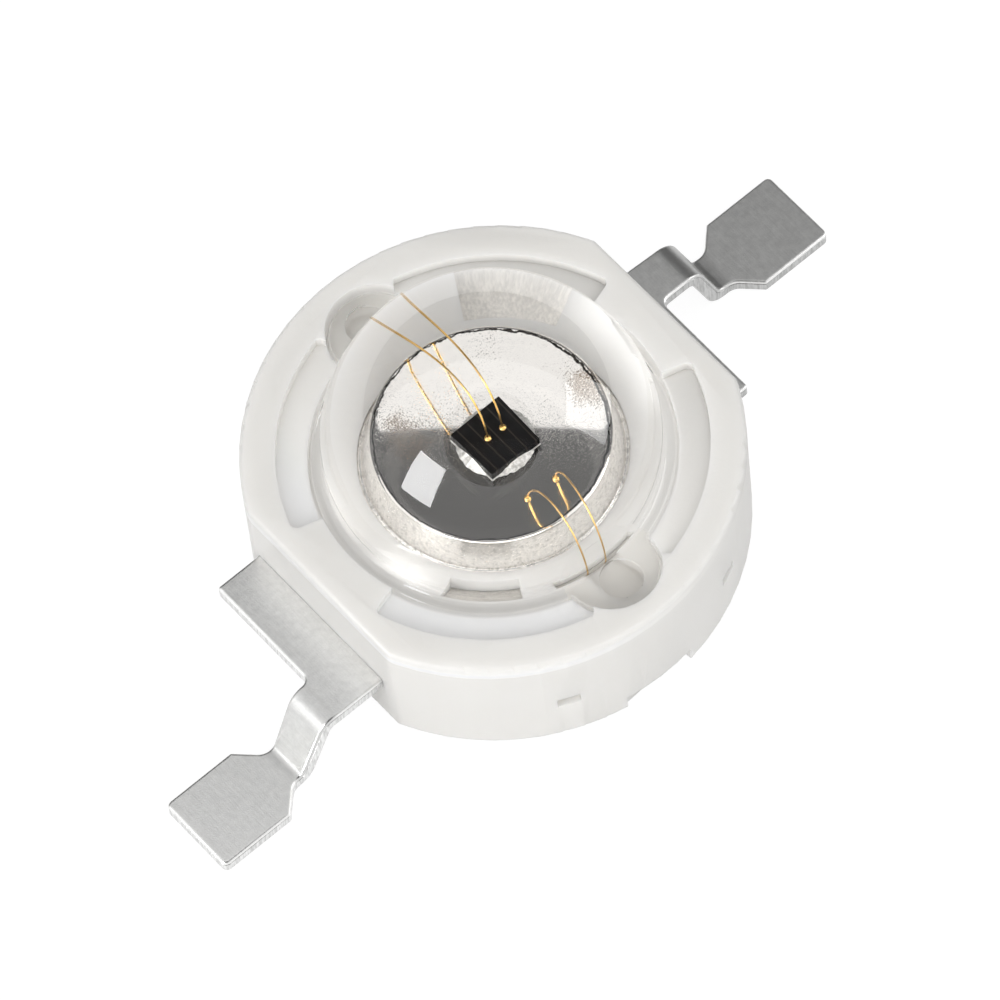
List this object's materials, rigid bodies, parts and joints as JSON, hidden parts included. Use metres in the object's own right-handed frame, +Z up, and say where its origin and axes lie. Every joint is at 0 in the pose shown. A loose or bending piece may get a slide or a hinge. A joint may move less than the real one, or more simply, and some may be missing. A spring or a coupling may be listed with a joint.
{
  "type": "high power led",
  "caption": "Surface-mount power LED with a round white moulded body, flats on opposite sides, a clear dome lens over a plated heat slug and chip, and gull-bent leads with solder pads.",
  "frame": {"origin": "centre of the slug's underside, in the plane of the board", "axes": "+X runs along the leads towards lead_b, +Y towards the far ear of the lens, +Z up out of the dome"},
  "size_m": [0.0144, 0.008, 0.0055],
  "materials": {
    "moulding": "white moulded high-temperature plastic, satin, slightly translucent",
    "silver_plate": "silver plate on copper, mirror bright on top",
    "tinned_a": "plated copper strip, fine rolling lines, bright sheared edges",
    "tinned_b": "plated copper strip, fine rolling lines, bright sheared edges",
    "clear_moulding": "clear optical moulding, polished",
    "silicone_gel": "clear silicone gel",
    "die": "polished black semiconductor with fine electrode lines",
    "silver_epoxy": "silver-filled epoxy, satin, grainy",
    "gold_wire": "drawn gold wire, bright"
  },
  "bodies": {
    "root": {"housing": "moulding", "slug": "silver_plate", "lead_a": "tinned_a", "lead_b": "tinned_b", "lens": "clear_moulding", "encapsulant": "silicone_gel", "chip": "die", "die_attach": "silver_epoxy", "chip_wire_1": "gold_wire", "chip_wire_2": "gold_wire", "slug_wire_1": "gold_wire", "slug_wire_2": "gold_wire"}
  },
  "joints": []
}
